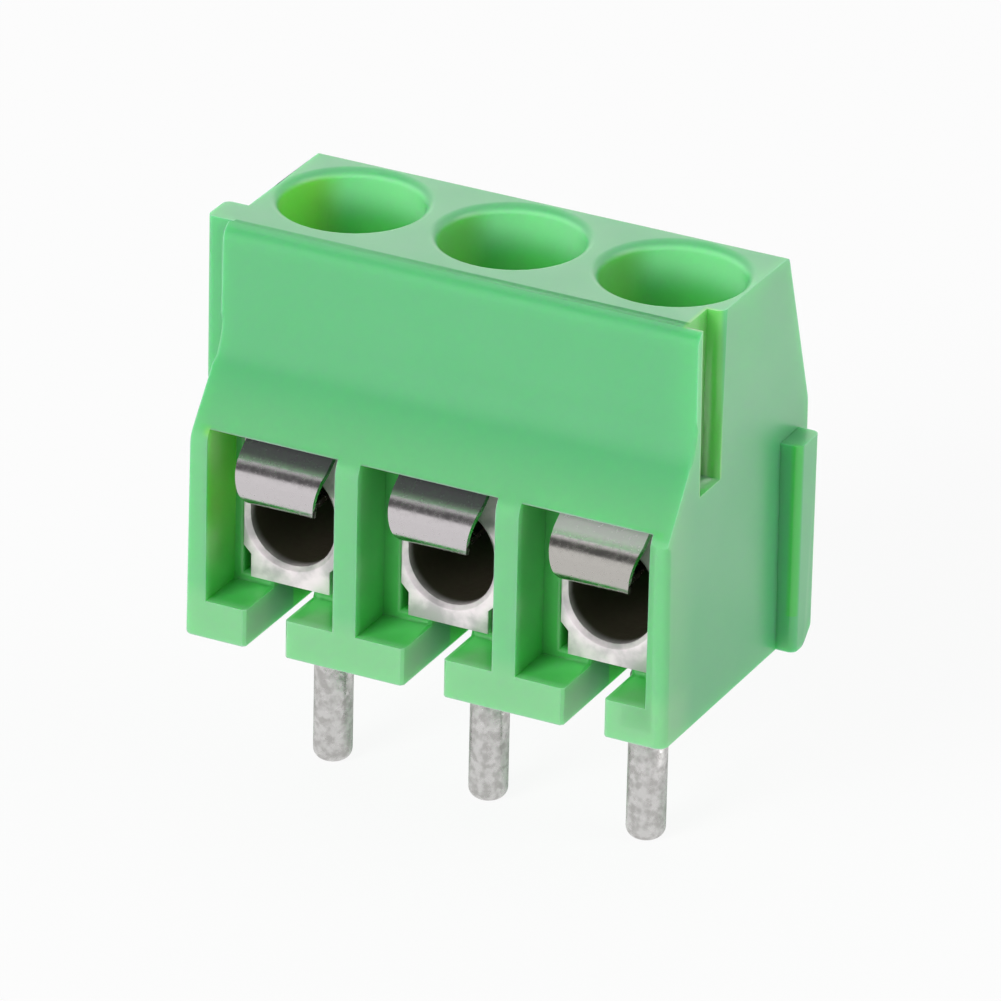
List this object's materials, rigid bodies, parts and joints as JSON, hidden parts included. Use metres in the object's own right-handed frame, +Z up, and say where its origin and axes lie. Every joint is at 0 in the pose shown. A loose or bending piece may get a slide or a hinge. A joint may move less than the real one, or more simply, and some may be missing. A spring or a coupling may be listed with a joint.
{
  "type": "pcb screw terminal",
  "caption": "Screw terminal block for a printed circuit board: green moulded housing, wire-guard clamps under slotted screws, round solder pins, interlocking side ribs.",
  "frame": {"origin": "axis of the middle solder pin, on the plane of the housing's underside that rests on the board", "axes": "+X along the row of poles, +Y from the wire side to the back, +Z up from the board"},
  "size_m": [0.0114, 0.0063, 0.0121],
  "materials": {
    "housing": "semi-gloss moulded polyamide",
    "clamp_body": "tin plated",
    "solder_pin": "tin plated, mottled",
    "wire_guard": "bright stainless sheet",
    "screw": "nickel plated"
  },
  "bodies": {
    "housing": {"housing": "housing", "clamp_body_1": "clamp_body", "clamp_body_2": "clamp_body", "clamp_body_3": "clamp_body", "solder_pin_1": "solder_pin", "solder_pin_2": "solder_pin", "solder_pin_3": "solder_pin"},
    "wire_guard_1": {"wire_guard_1": "wire_guard"},
    "screw_1": {"screw_1": "screw"},
    "wire_guard_2": {"wire_guard_2": "wire_guard"},
    "screw_2": {"screw_2": "screw"},
    "wire_guard_3": {"wire_guard_3": "wire_guard"},
    "screw_3": {"screw_3": "screw"}
  },
  "joints": [
    {"name": "guard_slide_1", "type": "slide", "parent": "housing", "child": "wire_guard_1", "axis": [0, 0, -1], "range_m": [0, 0.0012], "deforming": ["wire_guard_1"]},
    {"name": "screw_turn_1", "type": "hinge", "parent": "wire_guard_1", "child": "screw_1", "pos_m": [-0.0035, 0.00049, 0.0055], "axis": [0, 0, -1], "range_deg": [0, 1234.3]},
    {"name": "guard_slide_2", "type": "slide", "parent": "housing", "child": "wire_guard_2", "axis": [0, 0, -1], "range_m": [0, 0.0012], "deforming": ["wire_guard_2"]},
    {"name": "screw_turn_2", "type": "hinge", "parent": "wire_guard_2", "child": "screw_2", "pos_m": [0, 0.00049, 0.0055], "axis": [0, 0, -1], "range_deg": [0, 1234.3]},
    {"name": "guard_slide_3", "type": "slide", "parent": "housing", "child": "wire_guard_3", "axis": [0, 0, -1], "range_m": [0, 0.0012], "deforming": ["wire_guard_3"]},
    {"name": "screw_turn_3", "type": "hinge", "parent": "wire_guard_3", "child": "screw_3", "pos_m": [0.0035, 0.00049, 0.0055], "axis": [0, 0, -1], "range_deg": [0, 1234.3]}
  ],
  "couplings": [
    {"joint": "screw_turn_1", "follows": "guard_slide_1", "rad_per_m": 17952},
    {"joint": "screw_turn_2", "follows": "guard_slide_2", "rad_per_m": 17952},
    {"joint": "screw_turn_3", "follows": "guard_slide_3", "rad_per_m": 17952}
  ]
}
